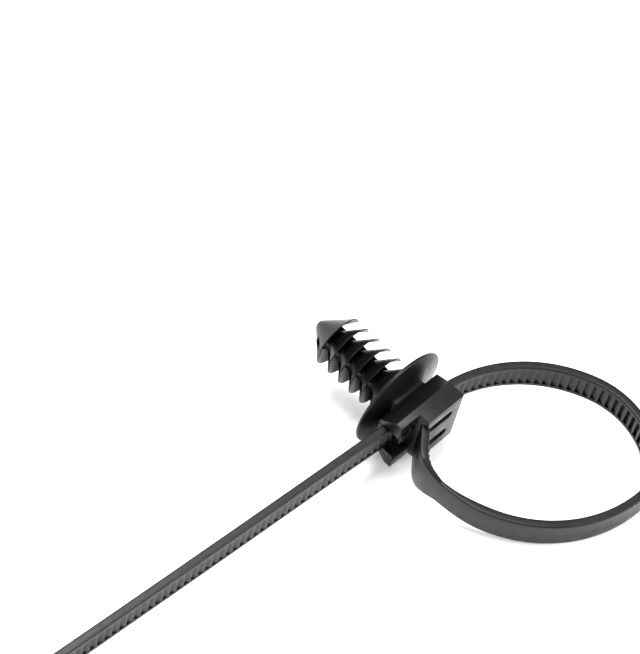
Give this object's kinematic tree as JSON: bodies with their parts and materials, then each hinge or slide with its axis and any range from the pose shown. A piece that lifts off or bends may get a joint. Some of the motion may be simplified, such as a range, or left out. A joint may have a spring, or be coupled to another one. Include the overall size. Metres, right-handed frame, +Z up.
{
  "type": "fir tree mount cable tie",
  "caption": "Looped releasable cable tie moulded in one piece with a fir tree foot and a spring disc, for strapping a bundle to a panel hole.",
  "frame": {"origin": "on the fir tree's axis, in the plane of the spring disc's rim, where the disc meets the panel", "axes": "the tie lies at rest: +X towards the loop and -X along the tail, +Y along the fir tree in plan, +Z up from the floor it lies on"},
  "size_m": [0.1087, 0.0484, 0.0157],
  "materials": {
    "nylon": "semi-gloss moulded black nylon"
  },
  "bodies": {
    "root": {"cable_tie": "nylon"}
  },
  "joints": []
}
